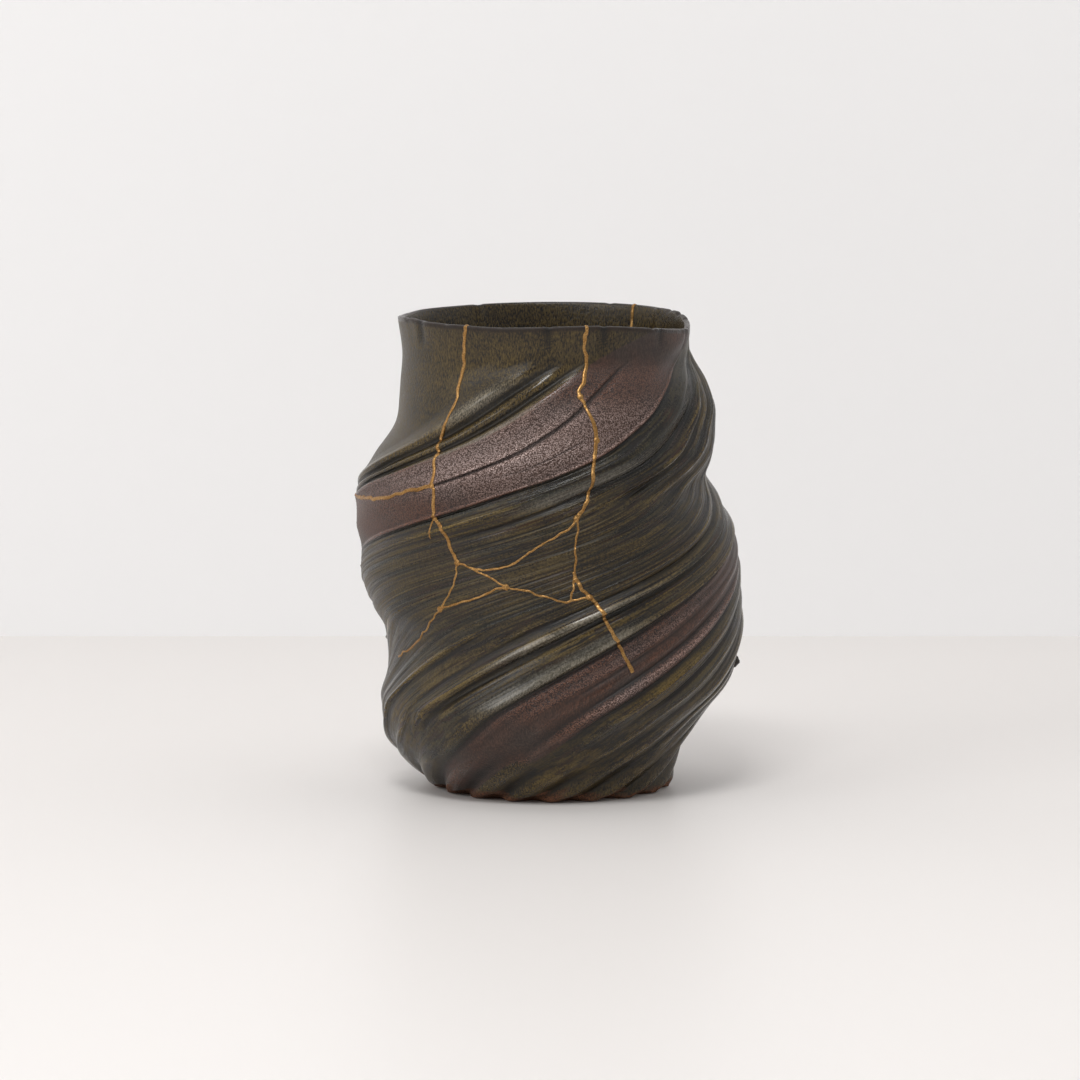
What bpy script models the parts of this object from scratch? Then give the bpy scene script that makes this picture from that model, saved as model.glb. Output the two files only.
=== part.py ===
# A stoneware vase with a twisted, pleated wall, mended with raised gold seams.
# Metres, +Z up, standing on Z = 0 under the middle of its own outline. Its front faces -Y.
# Azimuths are degrees counter-clockwise from +X, seen from above: 270 is the front.
# A pleat line is named by its azimuth at PLEAT_LEVEL, and climbs round the wall from there.

import math

import bmesh
import bpy
import numpy as np
from mathutils import Matrix, Vector
from mathutils.bvhtree import BVHTree

MM = 0.001

# Overall sizes
HEIGHT = 190 * MM
BELLY_RADIUS = 75.8 * MM
MOUTH_RADIUS = 58.2 * MM
FOOT_RADIUS = 46.5 * MM

# Wall, floor and lip
WALL = 4.5 * MM
LIP_WIDTH = 2.2 * MM
LIP_ROUND = 0.7 * MM
LIP_TAPER = 0.12           # share of the height over which the wall thins towards the lip
FLOOR = 7 * MM
FLOOR_CORNER = 14 * MM     # inner rounding between the wall and the floor
FOOT_BEVEL = 3.5 * MM
FOOT_LIFT = 1.0 * MM

# Outline: share of the height, then how far the radius has grown towards the belly
BELLY_LEVEL = 0.465
LOWER_OUTLINE = [(0, 0), (0.035, 0.14), (0.085, 0.35), (0.16, 0.595), (0.21, 0.735),
                 (0.24, 0.765), (0.29, 0.79), (0.34, 0.845), (0.39, 0.94), (BELLY_LEVEL, 1)]
UPPER_OUTLINE = [(BELLY_LEVEL, 1), (0.565, 0.89), (0.617, 0.76), (0.657, 0.59), (0.72, 0.47),
                 (0.77, 0.29), (0.82, 0.235), (0.87, 0.11), (0.92, -0.05), (1, 0)]

# Sway: the middle of the section wanders round like a corkscrew
# share of the height, towards the right, towards the back
SWAY = [(0, 0.8 * MM, 0.0 * MM), (0.085, -4.7 * MM, -2.5 * MM), (0.135, -4.5 * MM, -4.0 * MM),
        (0.185, -1.6 * MM, -4.5 * MM), (0.24, 3.5 * MM, -3.5 * MM), (0.29, 5.7 * MM, -1.5 * MM),
        (0.34, 5.2 * MM, 1.0 * MM), (0.39, 2.1 * MM, 3.0 * MM), (0.44, 0.3 * MM, 4.0 * MM),
        (0.515, -0.5 * MM, 4.0 * MM), (0.565, -2.4 * MM, 2.5 * MM), (0.617, -5.8 * MM, 0.5 * MM),
        (0.657, -6.9 * MM, -2.0 * MM), (0.695, -3.8 * MM, -4.0 * MM), (0.745, 0.3 * MM, -4.5 * MM),
        (0.795, 2.3 * MM, -2.5 * MM), (0.87, 0.7 * MM, 0.5 * MM), (0.92, -1.5 * MM, 1.5 * MM),
        (1, -2.4 * MM, 0.0 * MM)]

# Twist: share of the height, then degrees turned per whole height, and how that changes
# towards the right and towards the back
PLEAT_LEVEL = 0.505
TWIST = [(0, 458, 38, -9), (0.085, 277, 24, -15), (0.17, 110, 10, -24), (0.25, 190, -7, -37),
         (0.34, 274, -28, -52), (0.42, 322, -50, -65), (0.505, 361, -67, -79), (0.59, 395, -77, -95),
         (0.675, 280, -82, -110), (0.76, 161, -78, -126), (0.84, 121, -30, -149),
         (0.925, 170, 37, -173), (1, 220, 105, -196)]

# Pleats: line, degrees of slope before and after the crest, height (a groove is negative),
# and the shares of the height where it starts and ends
PLEATS = [
    (123, 8, 4, 1.5 * MM, 0.60, 0.94), (128, 3, 4, -1.3 * MM, 0.58, 0.98),
    (137, 5, 9, 1.0 * MM, 0.56, 0.92), (165, 26, 20, 1.4 * MM, 0.48, 1.00),
    (189, 4, 5, -1.1 * MM, 0.48, 0.96), (201, 10, 12, 1.6 * MM, 0.50, 0.96),
    (216, 6, 6, -1.2 * MM, 0.52, 0.84), (226, 6, 7, 1.6 * MM, 0.62, 0.98),
    (239, 7, 7, -1.2 * MM, 0.60, 0.96), (254, 7, 8, 1.6 * MM, 0.60, 0.98),
    (271, 6, 8, 1.0 * MM, 0.52, 0.86), (292, 8, 8, 0.9 * MM, 0.42, 0.74),
    (304, 5, 5, 0.7 * MM, 0.42, 0.74), (311, 5, 5, -1.0 * MM, 0.28, 0.70),
    (318, 7, 4, 1.7 * MM, 0.16, 0.68), (323, 3, 5, -1.2 * MM, 0.16, 0.68),
    (337, 9, 4, 1.6 * MM, 0.10, 0.62), (345, 5, 5, -1.0 * MM, 0.10, 0.62),
    (356, 5, 5, 0.6 * MM, 0.12, 0.60), (5, 5, 5, 1.1 * MM, 0.10, 0.52),
    (14, 5, 6, 1.0 * MM, 0.12, 0.56), (21, 4, 5, -1.1 * MM, 0.14, 0.50),
    (28, 6, 6, 1.0 * MM, 0.06, 0.52), (40, 7, 7, 1.2 * MM, 0.06, 0.60),
    (54, 7, 7, -1.1 * MM, 0.06, 0.62), (66, 8, 8, 1.3 * MM, 0.06, 0.74),
    (80, 7, 7, -1.0 * MM, 0.06, 0.80), (95, 9, 9, 0.8 * MM, 0.10, 0.70),
    (109, 7, 7, -0.8 * MM, 0.06, 0.66), (152, 8, 8, 0.8 * MM, 0.04, 0.44),
    (176, 8, 8, -0.8 * MM, 0.06, 0.44), (208, 9, 9, 0.9 * MM, 0.06, 0.46),
    (232, 9, 9, -0.9 * MM, 0.06, 0.48), (258, 9, 9, 0.8 * MM, 0.06, 0.46),
    (283, 7, 7, -1.0 * MM, 0.06, 0.36), (297, 6, 4, 1.1 * MM, 0.06, 0.38),
]
PLEAT_FADE = 0.09          # share of the height over which a pleat rises and dies away

# Foot: the pleats end as even ribs round the foot
FOOT_RIBS = 18
FOOT_RIB_HEIGHT = 1.3 * MM
FOOT_RIB_REACH = 0.16      # share of the height
FOOT_RIB_AZIMUTH = 210     # a rib's crest

# Lip: it droops at the right front, and waves a little
LIP_DROOP = 3.6 * MM
LIP_DROOP_AZIMUTH = 346
LIP_DROOP_SPAN = 42        # degrees to each side
LIP_WAVE = 0.4 * MM
LIP_WAVES = 7
LIP_REACH = 0.2            # share of the height below the lip that follows it

# Gold seams: a rounded bead on the wall, with a little gap under it
SEAM_WIDTH = 1.8 * MM
SEAM_RISE = 1.0 * MM       # top of the bead over the wall
SEAM_GAP = 0.3 * MM
SEAM_BLOB = 1.5 * MM       # radius of the drop of gold where seams meet
SEAM_STEP = 0.8 * MM       # between two points traced on the wall
SEAM_RUN = 7 * MM          # the longest straight run of the bead
SEAM_STRAY = 0.15 * MM     # how far the traced points may lie off a straight run
SEAM_INSIDE = 22 * MM      # how far the front seams run down inside the mouth
BACK_SEAM_INSIDE = 46 * MM
LIP_MARGIN = 1.2 * MM      # where a seam leaves the wall to round the lip

# Bends of each seam: azimuth and share of the height. A seam that ends at share 1 rounds the lip
FRONT_SEAMS = [
    [(231.5, 0.671), (231.5, 0.692), (231, 0.732), (228.5, 0.761), (230.5, 0.784), (232, 0.818),
     (233.5, 0.847), (232.5, 0.863), (233.5, 0.887), (234.5, 0.918), (234.5, 0.955), (236, 1)],
    [(231.5, 0.671), (227, 0.663), (222, 0.655), (215.5, 0.639), (207, 0.629), (193.5, 0.621),
     (181, 0.618), (170, 0.607), (158, 0.604)],
    [(231.5, 0.671), (233, 0.663), (233, 0.642), (232, 0.611), (232.5, 0.600), (235, 0.587),
     (236.5, 0.561), (237.5, 0.539), (239.5, 0.513)],
    [(232, 0.611), (231, 0.587), (230.5, 0.561)],
    [(239.5, 0.513), (244, 0.505), (247.5, 0.495), (254, 0.474), (256, 0.468), (262, 0.461),
     (268.5, 0.450), (275, 0.437), (277, 0.442), (282.5, 0.447)],
    [(244, 0.505), (249, 0.500), (252.5, 0.503), (259, 0.518), (263.5, 0.539), (268.5, 0.561),
     (273, 0.579), (276, 0.589), (278.5, 0.611)],
    [(278.5, 0.611), (280.5, 0.626), (282.5, 0.647), (283.5, 0.679), (284, 0.711), (284.5, 0.739),
     (285.5, 0.768), (284.5, 0.800), (283.5, 0.826), (282, 0.845), (281, 0.855), (280.5, 0.866),
     (282.5, 0.884), (284, 0.908), (284.5, 0.937), (283.5, 0.958), (284.5, 1)],
    [(278.5, 0.611), (279, 0.587), (278, 0.558), (278, 0.526), (277.5, 0.500), (277.5, 0.474),
     (276.5, 0.441)],
    [(277.5, 0.500), (278.5, 0.484), (280, 0.463), (282.5, 0.447), (285, 0.432), (287, 0.411),
     (288.5, 0.389), (289.5, 0.374), (291.5, 0.353), (293.5, 0.326), (294.5, 0.311), (296, 0.289)],
    [(239.5, 0.513), (239, 0.489), (238, 0.466), (236, 0.442), (232.5, 0.413), (227, 0.376),
     (219.5, 0.342), (212, 0.316), (201, 0.289)],
    [(232.5, 0.413), (240.5, 0.432), (247.5, 0.445), (252.5, 0.463), (256, 0.468)],
]
FRONT_BLOBS = [(231.5, 0.671), (231, 0.732), (239.5, 0.513), (278.5, 0.611), (285.5, 0.768),
               (282.5, 0.447), (287, 0.411), (232.5, 0.413), (256, 0.468), (281, 0.855)]
BACK_SEAMS = [
    [(50, 0.784), (53, 0.842), (49, 0.889), (50.5, 0.947), (51.5, 1)],
    [(50, 0.784), (46, 0.737), (47.5, 0.679), (43, 0.626), (45, 0.568)],
    [(50, 0.784), (57, 0.758), (66, 0.747), (74, 0.721)],
]
BACK_BLOBS = [(50, 0.784)]

# Facets
COLUMNS = 60
OUTER_ROWS = 36
INNER_ROWS = 9
CORNER_ROWS = 3
TRACE_STEPS = 400


def smooth_through(points, column, shares):
    """Values, at the given shares of the height, of a smooth curve through the points."""
    knots = np.array([point[0] for point in points], dtype=float)
    values = np.array([point[column] for point in points], dtype=float)
    slopes = np.gradient(values, knots)
    shares = np.clip(shares, knots[0], knots[-1])
    index = np.clip(np.searchsorted(knots, shares) - 1, 0, len(knots) - 2)
    span = knots[index + 1] - knots[index]
    part = (shares - knots[index]) / span
    start = values[index] * (1 + 2 * part) * (1 - part) ** 2
    end = values[index + 1] * part ** 2 * (3 - 2 * part)
    leave = slopes[index] * span * part * (1 - part) ** 2
    arrive = slopes[index + 1] * span * part ** 2 * (part - 1)
    return start + end + leave + arrive


def ease(value):
    """A smooth step from 0 to 1."""
    value = np.clip(value, 0, 1)
    return value * value * (3 - 2 * value)


def round_difference(azimuth, centre):
    """Degrees from the centre to the azimuth, from -180 to 180."""
    return (azimuth - centre + 180) % 360 - 180


def body_radius(shares):
    """Radius of the smooth body, without its pleats."""
    shares = np.asarray(shares, dtype=float)
    lower = FOOT_RADIUS + (BELLY_RADIUS - FOOT_RADIUS) * smooth_through(LOWER_OUTLINE, 1, shares)
    upper = MOUTH_RADIUS + (BELLY_RADIUS - MOUTH_RADIUS) * smooth_through(UPPER_OUTLINE, 1, shares)
    return np.where(shares < BELLY_LEVEL, lower, upper)


def twist_rate(azimuth, share):
    """Degrees that a pleat line turns per whole height."""
    levels = [row[0] for row in TWIST]
    turn = np.interp(share, levels, [row[1] for row in TWIST])
    right = np.interp(share, levels, [row[2] for row in TWIST])
    back = np.interp(share, levels, [row[3] for row in TWIST])
    return turn + right * np.cos(np.radians(azimuth)) + back * np.sin(np.radians(azimuth))


def trace_lines(lines):
    """Azimuth of each pleat line at each traced share of the height."""
    shares = np.linspace(0, 1, TRACE_STEPS + 1)
    step = 1 / TRACE_STEPS
    table = np.empty((len(shares), len(lines)))
    middle = int(round(PLEAT_LEVEL * TRACE_STEPS))
    table[middle] = lines
    for index in range(middle + 1, len(shares)):
        here = table[index - 1]
        half = here + step / 2 * twist_rate(here, shares[index - 1])
        table[index] = here + step * twist_rate(half, shares[index - 1] + step / 2)
    for index in range(middle - 1, -1, -1):
        here = table[index + 1]
        half = here - step / 2 * twist_rate(here, shares[index + 1])
        table[index] = here - step * twist_rate(half, shares[index + 1] - step / 2)
    return shares, table


def relief(lines, foot_azimuth, share):
    """Height of the pleats and foot ribs over the smooth body, for each line at one level."""
    total = np.zeros(len(lines))
    for centre, before, after, height, low, high in PLEATS:
        distance = round_difference(lines, centre)
        width = np.where(distance < 0, before, after)
        crest = ease(1 - np.abs(distance) / width)
        rise = ease((share - low) / PLEAT_FADE) * ease((high - share) / PLEAT_FADE)
        total += height * crest * rise
    fade = 1 - ease(share / FOOT_RIB_REACH)
    ribs = np.cos(np.radians(FOOT_RIBS * (foot_azimuth - FOOT_RIB_AZIMUTH)))
    return total + FOOT_RIB_HEIGHT * fade * ribs


def lip_offset(azimuth):
    """How far the lip stands above its mean level."""
    droop = ease(1 - np.abs(round_difference(azimuth, LIP_DROOP_AZIMUTH)) / LIP_DROOP_SPAN)
    return LIP_WAVE * np.cos(np.radians(LIP_WAVES * azimuth)) - LIP_DROOP * droop


def place(azimuth, radius, share):
    """Points on a section at one share of the height, with the sway and the lip's fall."""
    sway_right = smooth_through(SWAY, 1, np.array([share]))[0]
    sway_back = smooth_through(SWAY, 2, np.array([share]))[0]
    follow = ease((share - 1 + LIP_REACH) / LIP_REACH)
    x = sway_right + radius * np.cos(np.radians(azimuth))
    y = sway_back + radius * np.sin(np.radians(azimuth))
    z = HEIGHT * share + follow * lip_offset(azimuth)
    return np.stack([x, y, z], axis=1)


def outer_levels():
    """Shares of the height of the outer rows, closer together where the wall twists faster."""
    shares = np.linspace(0, 1, TRACE_STEPS + 1)
    turn = np.interp(shares, [row[0] for row in TWIST], [row[1] for row in TWIST])
    crowd = np.cumsum(1 + turn / turn.mean())
    crowd = (crowd - crowd[0]) / (crowd[-1] - crowd[0])
    return np.interp(np.linspace(0, 1, OUTER_ROWS), crowd, shares)


def body_rows():
    """Every ring of the vessel, from under the foot, up the outside, and down to the floor."""
    start = np.linspace(0, 360, 721)
    _, spread = trace_lines(start)
    mean = spread.mean(axis=0)
    even = mean[0] + 360 * np.arange(COLUMNS) / COLUMNS
    lines = np.interp(even, mean, start)
    shares, table = trace_lines(lines)
    foot_azimuth = table[0]
    lip_azimuth = table[-1]
    radii = body_radius(np.array([0.0]))[0] + relief(lines, foot_azimuth, 0)
    centre = place(foot_azimuth, np.zeros(COLUMNS), 0)
    sole = place(foot_azimuth, radii - FOOT_BEVEL, 0)
    rows = [centre, sole]
    for share in outer_levels():
        azimuth = np.array([np.interp(share, shares, column) for column in table.T])
        radius = body_radius(np.array([share]))[0] + relief(lines, foot_azimuth, share)
        ring = place(azimuth, radius, share)
        lift = FOOT_LIFT * (1 - ease(share * HEIGHT / FOOT_BEVEL))
        ring[:, 2] += lift
        rows.append(ring)
    lip_radius = body_radius(np.array([1.0]))[0] + relief(lines, foot_azimuth, 1)
    crown = place(lip_azimuth, lip_radius - LIP_WIDTH / 2, 1)
    crown[:, 2] += LIP_ROUND
    rows.append(crown)
    floor_share = (FLOOR + FLOOR_CORNER) / HEIGHT
    for share in np.linspace(1, floor_share, INNER_ROWS):
        wall = LIP_WIDTH + (WALL - LIP_WIDTH) * ease((1 - share) / LIP_TAPER)
        inner = body_radius(np.array([share]))[0] - wall
        if share == 1:
            inner = lip_radius - LIP_WIDTH
        rows.append(place(lip_azimuth, inner, share))
    for index in range(1, CORNER_ROWS + 1):
        angle = math.pi / 2 * index / CORNER_ROWS
        share = (FLOOR + FLOOR_CORNER * (1 - math.sin(angle))) / HEIGHT
        radius = body_radius(np.array([share]))[0] - WALL - FLOOR_CORNER * (1 - math.cos(angle))
        rows.append(place(lip_azimuth, radius, share))
    rows.append(place(lip_azimuth, np.zeros(COLUMNS), FLOOR / HEIGHT))
    return rows


def spin_vessel(rows):
    """A turned vessel of these rings: a profile spun once round, then carved ring by ring."""
    mesh = bmesh.new()
    ring_number = mesh.verts.layers.int.new("ring")
    profile = []
    for number in range(len(rows)):
        point = mesh.verts.new((1 + number * MM, 0, number))
        point[ring_number] = number
        profile.append(point)
    edges = [mesh.edges.new(pair) for pair in zip(profile, profile[1:])]
    bmesh.ops.spin(mesh, geom=profile + edges, axis=(0, 0, 1), cent=(0, 0, 0),
                   angle=2 * math.pi, steps=COLUMNS, use_merge=True)
    for point in mesh.verts:
        column = round(math.atan2(point.co.y, point.co.x) * COLUMNS / (2 * math.pi)) % COLUMNS
        point.co = Vector(rows[point[ring_number]][column])
    bmesh.ops.remove_doubles(mesh, verts=mesh.verts, dist=0.001 * MM)
    bmesh.ops.triangulate(mesh, faces=mesh.faces, quad_method="SHORT_EDGE")
    bmesh.ops.recalc_face_normals(mesh, faces=mesh.faces)
    return mesh


def add_object(name, mesh, collection):
    """An object of this mesh, in this collection, held by the vase's centre."""
    data = bpy.data.meshes.new(name)
    mesh.to_mesh(data)
    mesh.free()
    created = bpy.data.objects.new(name, data)
    collection.objects.link(created)
    created.parent = vase_centre
    return created


def seam_depth():
    """How far the bead's centre lies under the wall, so that it has its width at the gap."""
    half_width = SEAM_WIDTH / 2
    return (half_width ** 2 + SEAM_GAP ** 2 - SEAM_RISE ** 2) / (2 * (SEAM_RISE - SEAM_GAP))


def sink(wall, start, direction):
    """The bead's centre under the first wall that a line of sight meets."""
    point, normal, _, _ = wall.ray_cast(start, direction)
    return point - normal * seam_depth()


def outward(azimuth):
    """The level direction of an azimuth."""
    return Vector((math.cos(math.radians(azimuth)), math.sin(math.radians(azimuth)), 0))


def outside_point(wall, azimuth, height):
    """The bead's centre on the outside of the wall."""
    direction = outward(azimuth)
    start = direction * 2 * BELLY_RADIUS + Vector((0, 0, height))
    return sink(wall, start, -direction)


def inside_point(wall, azimuth, height):
    """The bead's centre on the inside of the wall."""
    return sink(wall, Vector((0, 0, height)), outward(azimuth))


def thin_out(points):
    """The points where the line bends or has run straight for long enough."""
    kept = [points[0]]
    first = 0
    for last in range(2, len(points)):
        run = points[last] - points[first]
        strays = [(point - points[first]).cross(run.normalized()).length
                  for point in points[first + 1:last]]
        if run.length > SEAM_RUN or max(strays) > SEAM_STRAY:
            first = last - 1
            kept.append(points[first])
    return kept + [points[-1]]


def lip_points(wall, azimuth, run):
    """The bead's centres from the outside of the lip, over it and down the inside."""
    lip = HEIGHT + lip_offset(azimuth)
    outer = outside_point(wall, azimuth, lip - LIP_MARGIN)
    inner = inside_point(wall, azimuth, lip - LIP_MARGIN)
    middle = (outer + inner) / 2
    crown = Vector((middle.x, middle.y, lip + LIP_ROUND - seam_depth()))
    corner_height = crown.z - LIP_ROUND / 2
    points = [outer, Vector((outer.x, outer.y, corner_height)), crown,
              Vector((inner.x, inner.y, corner_height))]
    count = max(2, round(run / SEAM_STEP))
    descent = [inside_point(wall, azimuth, height)
               for height in np.linspace(lip - LIP_MARGIN, lip - run, count)]
    return points + thin_out(descent)


def seam_points(wall, bends, inside_run):
    """The bead's centres along one seam, with those that it needs to follow the pleats."""
    points = []
    for start, end in zip(bends, bends[1:]):
        top = HEIGHT + lip_offset(end[0]) - 2 * LIP_MARGIN
        along = BELLY_RADIUS * math.radians(end[0] - start[0])
        climb = HEIGHT * (end[1] - start[1])
        count = max(1, round(math.hypot(along, climb) / SEAM_STEP))
        for part in np.arange(count) / count:
            azimuth = start[0] + part * (end[0] - start[0])
            height = min(top, HEIGHT * (start[1] + part * (end[1] - start[1])))
            points.append(outside_point(wall, azimuth, height))
    azimuth, share = bends[-1]
    if share == 1:
        return thin_out(points) + lip_points(wall, azimuth, inside_run)
    return thin_out(points + [outside_point(wall, azimuth, HEIGHT * share)])


def bead(points):
    """A round bead along the points, as a mesh with closed ends."""
    curve = bpy.data.curves.new("bead", "CURVE")
    curve.dimensions = "3D"
    curve.bevel_depth = SEAM_RISE + seam_depth()
    curve.bevel_resolution = 1
    curve.use_fill_caps = True
    spline = curve.splines.new("POLY")
    spline.points.add(len(points) - 1)
    for knot, point in zip(spline.points, points):
        knot.co = (*point, 1)
    holder = bpy.data.objects.new("bead", curve)
    cutter_collection.objects.link(holder)
    depsgraph = bpy.context.evaluated_depsgraph_get()
    data = bpy.data.meshes.new_from_object(holder.evaluated_get(depsgraph))
    bpy.data.objects.remove(holder, do_unlink=True)
    tube = bmesh.new()
    tube.from_mesh(data)
    bmesh.ops.remove_doubles(tube, verts=tube.verts, dist=0.01 * MM)
    tube.to_mesh(data)
    tube.free()
    return data


def add_seam(name, wall, routes, blobs, inside_run):
    """One network of gold seams, trimmed to stand off the wall by the gap."""
    network = bmesh.new()
    for bends in routes:
        network.from_mesh(bead(seam_points(wall, bends, inside_run)))
    for azimuth, share in blobs:
        middle = outside_point(wall, azimuth, HEIGHT * share)
        bmesh.ops.create_icosphere(network, subdivisions=1, radius=SEAM_BLOB,
                                   matrix=Matrix.Translation(middle))
    bmesh.ops.triangulate(network, faces=network.faces)
    seam = add_object(name, network, vase_collection)
    trim = seam.modifiers.new("trim to the wall", "BOOLEAN")
    trim.operation = "DIFFERENCE"
    trim.object = wall_cutter
    trim.solver = "EXACT"
    trim.use_self = True
    seam.data.materials.append(gold)
    return seam


def swollen(mesh, thickness):
    """A copy of the mesh with every point moved out along its normal."""
    copy = mesh.copy()
    copy.normal_update()
    for point in copy.verts:
        point.co += point.normal * thickness * point.calc_shell_factor()
    return copy


def make_material(name, colour, roughness, metallic):
    """A plain Principled finish."""
    material = bpy.data.materials.new(name)
    material.use_nodes = True
    shader = material.node_tree.nodes["Principled BSDF"]
    shader.inputs["Base Color"].default_value = (*colour, 1)
    shader.inputs["Roughness"].default_value = roughness
    shader.inputs["Metallic"].default_value = metallic
    return material


for old in list(bpy.data.objects):
    bpy.data.objects.remove(old, do_unlink=True)

vase_collection = bpy.data.collections.new("kintsugi_vase")
cutter_collection = bpy.data.collections.new("cutters")
for collection in (vase_collection, cutter_collection):
    bpy.context.scene.collection.children.link(collection)
vase_centre = bpy.data.objects.new("vase_centre", None)
vase_collection.objects.link(vase_centre)

glaze = make_material("ash_glaze_stoneware", (0.045, 0.042, 0.026), 0.4, 0)
gold = make_material("gold_lacquer", (0.62, 0.34, 0.08), 0.35, 1)

vessel = spin_vessel(body_rows())
wall_surface = BVHTree.FromBMesh(vessel)
wall_cutter = add_object("wall_cutter", swollen(vessel, SEAM_GAP), cutter_collection)
wall_cutter.hide_render = True
wall_cutter.display_type = "WIRE"

body = add_object("vase_body", vessel, vase_collection)
body.data.materials.append(glaze)
body.data.shade_smooth()

seams = [add_seam("gold_seam_front", wall_surface, FRONT_SEAMS, FRONT_BLOBS, SEAM_INSIDE),
         add_seam("gold_seam_back", wall_surface, BACK_SEAMS, BACK_BLOBS, BACK_SEAM_INSIDE)]

# The vase stands over the middle of its own outline
depsgraph = bpy.context.evaluated_depsgraph_get()
corners = [point.co for item in [body] + seams
           for point in item.evaluated_get(depsgraph).data.vertices]
for axis in range(2):
    side = [corner[axis] for corner in corners]
    vase_centre.location[axis] = -(min(side) + max(side)) / 2
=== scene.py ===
import math

import bmesh
import bpy
import numpy as np
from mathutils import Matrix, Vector
from mathutils.bvhtree import BVHTree


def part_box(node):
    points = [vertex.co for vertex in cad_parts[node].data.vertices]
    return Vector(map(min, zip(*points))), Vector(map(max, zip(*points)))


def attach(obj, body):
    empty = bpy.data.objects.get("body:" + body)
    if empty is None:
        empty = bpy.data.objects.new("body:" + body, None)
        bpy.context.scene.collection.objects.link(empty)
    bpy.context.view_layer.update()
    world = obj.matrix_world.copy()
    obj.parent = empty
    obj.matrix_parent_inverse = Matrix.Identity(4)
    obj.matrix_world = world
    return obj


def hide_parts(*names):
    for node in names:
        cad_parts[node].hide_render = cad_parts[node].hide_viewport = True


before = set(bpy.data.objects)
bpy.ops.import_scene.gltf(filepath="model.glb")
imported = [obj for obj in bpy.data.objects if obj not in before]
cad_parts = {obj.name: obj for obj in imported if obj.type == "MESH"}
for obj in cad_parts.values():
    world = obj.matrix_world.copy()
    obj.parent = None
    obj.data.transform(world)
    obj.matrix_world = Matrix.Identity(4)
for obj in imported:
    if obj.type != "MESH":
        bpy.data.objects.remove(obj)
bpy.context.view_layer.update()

# A twisted stoneware vase mended with gold. Metres, +Z up, the front faces -Y.
# Azimuths are degrees counter-clockwise from +X seen from above, so 270 is the front.
# A pleat line is named by its azimuth at pleatLevel and climbs round the wall from there.
# Levels are shares of the height, from 0 at the foot to 1 at the lip.

mm = 0.001

vaseForm = {
    "height": 190 * mm,
    "bellyRadius": 75.8 * mm,
    "mouthRadius": 58.2 * mm,
    "footRadius": 46.5 * mm,
    "wall": 4.5 * mm,
    "lipWidth": 2.2 * mm,
    "lipRound": 0.7 * mm,
    "lipRoll": 0.5 * mm,       # a soft bead just inside the lip
    "lipTaper": 0.12,          # level below the lip over which the wall thins
    "depth": 0.9945,           # the sections are this much flatter from front to back
    "floor": 7 * mm,
    "floorCorner": 14 * mm,
    "soleEdge": 3 * mm,        # the flat ring just inside the foot's bevel
    "footBevel": 3.5 * mm,
    "footLift": 0.5 * mm,      # how far the bevel's edge lifts all round
    "footTuck": 0.012,         # share by which it is drawn in
    "bellyLevel": 0.465,
    # level, share of the way from the foot or mouth radius out to the belly radius
    "lowerOutline": [(0, 0), (0.035, 0.14), (0.085, 0.35), (0.16, 0.595), (0.21, 0.735),
                     (0.24, 0.765), (0.29, 0.79), (0.34, 0.845), (0.39, 0.94), (0.465, 1)],
    "upperOutline": [(0.465, 1), (0.565, 0.89), (0.617, 0.76), (0.657, 0.59), (0.72, 0.47),
                     (0.77, 0.29), (0.82, 0.235), (0.87, 0.11), (0.92, -0.05), (1, 0)],
    # level, then how far the middle of the section wanders right and back, in mm
    "sway": [(0, 0.8, 0), (0.085, -4.7, -2.5), (0.135, -4.5, -4), (0.185, -1.6, -4.5),
             (0.24, 3.5, -3.5), (0.29, 5.7, -1.5), (0.34, 5.2, 1), (0.39, 2.1, 3), (0.44, 0.3, 4),
             (0.515, -0.5, 4),
             (0.565, -2.4, 2.5), (0.617, -5.8, 0.5), (0.657, -6.9, -2), (0.695, -3.8, -4),
             (0.745, 0.3, -4.5), (0.795, 2.3, -2.5), (0.87, 0.7, 0.0), (0.92, -1.5, 0.3), (1, -2.4, 0)],
    "pleatLevel": 0.505,
    # level, degrees turned per whole height, and how that changes to the right and to the back
    "twist": [(0, 458, 38, -9), (0.085, 277, 24, -15), (0.17, 110, 10, -24), (0.25, 190, -7, -37),
              (0.34, 274, -28, -52), (0.42, 322, -50, -65), (0.505, 361, -67, -79),
              (0.59, 395, -77, -95), (0.675, 280, -82, -110), (0.76, 161, -78, -126),
              (0.84, 121, -30, -149), (0.925, 170, 37, -173), (1, 220, 105, -196)],
    "footRibs": 18,
    "footRibHeight": 1.5 * mm,
    "footRibHollow": 0.35,     # how much deeper the hollows are than a plain wave
    "footRibReach": 0.17,
    "footRibAzimuth": 210,
    "footNotch": 1.6 * mm,     # how far the foot's edge lifts between two ribs
    "lipReach": 0.2,
    # azimuth, how far the lip stands above its mean level in mm
    "lipHeights": [(0, -4.9), (10, -3.1), (20, -1.8), (36, -1.4), (48, -1.15), (60, -1.05), (75, -1.1),
                   (90, -1.2), (108, -1.4), (120, -1.6), (131, -1.8), (149, -1.85), (160, -2.3),
                   (172, -2.3), (182, -1.7), (192, -1.1), (201, -0.7), (207, -0.6), (213, -1.2),
                   (225, -1.3), (236, -1.4), (245, -1.7), (253, -1.8), (265, -1.45), (276, -1.2),
                   (284, -1.15), (292, -1.2), (303, -2.0), (315, -3.1), (328, -4.4), (343, -5.6),
                   (352, -5.6), (360, -4.9)],
}

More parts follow.
